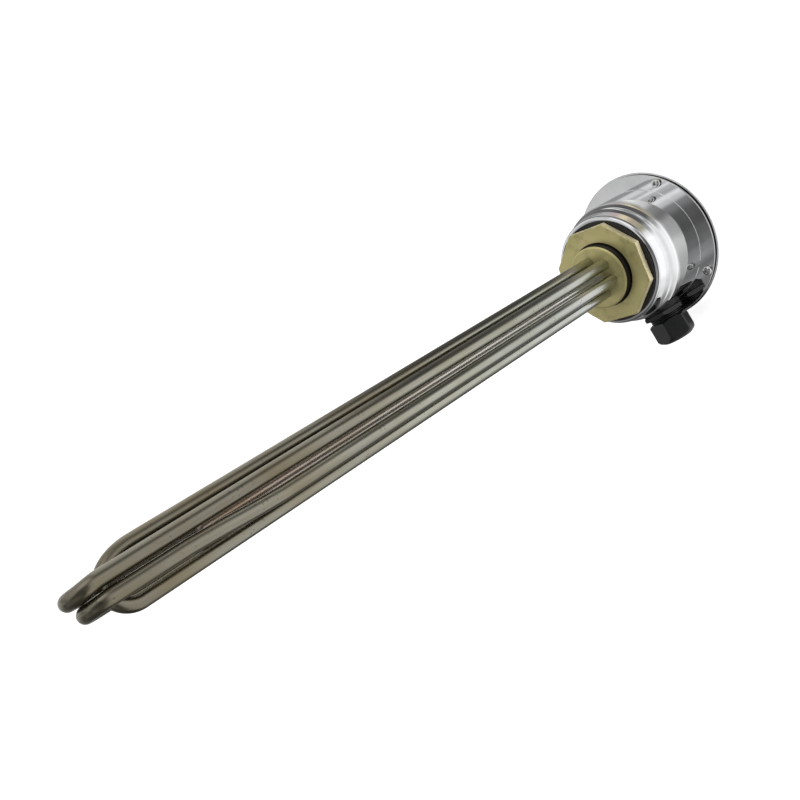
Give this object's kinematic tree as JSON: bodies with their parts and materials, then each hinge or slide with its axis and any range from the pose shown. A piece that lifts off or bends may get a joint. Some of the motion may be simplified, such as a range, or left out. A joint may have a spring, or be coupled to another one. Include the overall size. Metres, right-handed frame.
{
  "type": "screw-in immersion heater",
  "caption": "Screw-in immersion heater with hairpin tubular elements round a sensor pocket, an octagonal brass plug, and a stainless terminal housing with cable gland.",
  "frame": {"origin": "centre of the lid's flat outer face, on which the heater stands", "axes": "+Z along the elements, towards their tips; +X along the cable gland, away from the housing"},
  "size_m": [0.1334, 0.1194, 0.5222],
  "materials": {
    "stainless_polished": "mirror-polished stainless steel",
    "stainless_plain": "plain stainless steel",
    "element_sheath": "drawn steel tube, heat-darkened towards the tips",
    "pocket_steel": "drawn steel tube",
    "plug_brass": "machined, dull brass",
    "terminal_brass": "plain brass",
    "black_rubber": "black rubber",
    "gland_plastic": "black moulded polyamide",
    "white_ceramic": "unglazed white ceramic",
    "case_plastic": "cream moulded plastic",
    "zinc_steel": "zinc-plated steel"
  },
  "bodies": {
    "root": {"housing": "stainless_polished", "lid": "stainless_polished", "plug": "plug_brass", "plug_seal": "black_rubber", "lid_gasket": "black_rubber", "hairpin_left": "element_sheath", "hairpin_right": "element_sheath", "hairpin_wide": "element_sheath", "sensor_pocket": "pocket_steel", "clamp_washer": "zinc_steel", "clamp_nut": "terminal_brass", "gland_body": "gland_plastic", "gland_nut": "gland_plastic", "gland_lock_nut": "gland_plastic", "gland_seal": "black_rubber", "gland_insert": "black_rubber", "earth_stud": "zinc_steel", "earth_washer": "zinc_steel", "earth_nut": "zinc_steel", "thermostat_case": "case_plastic", "thermostat_dial": "case_plastic", "thermostat_stem": "terminal_brass", "lid_screw_1": "stainless_plain", "lid_screw_2": "stainless_plain", "lid_screw_3": "stainless_plain", "lid_screw_4": "stainless_plain", "insulator_1": "white_ceramic", "insulator_2": "white_ceramic", "insulator_3": "white_ceramic", "insulator_4": "white_ceramic", "insulator_5": "white_ceramic", "insulator_6": "white_ceramic", "stud_1": "zinc_steel", "stud_2": "zinc_steel", "stud_3": "zinc_steel", "stud_4": "zinc_steel", "stud_5": "zinc_steel", "stud_6": "zinc_steel", "stud_nut_1": "zinc_steel", "stud_nut_2": "zinc_steel", "stud_nut_3": "zinc_steel", "stud_nut_4": "zinc_steel", "stud_nut_5": "zinc_steel", "stud_nut_6": "zinc_steel", "link_1": "terminal_brass", "link_2": "terminal_brass", "link_3": "terminal_brass", "thermostat_screw_1": "zinc_steel", "thermostat_screw_2": "zinc_steel"}
  },
  "joints": []
}
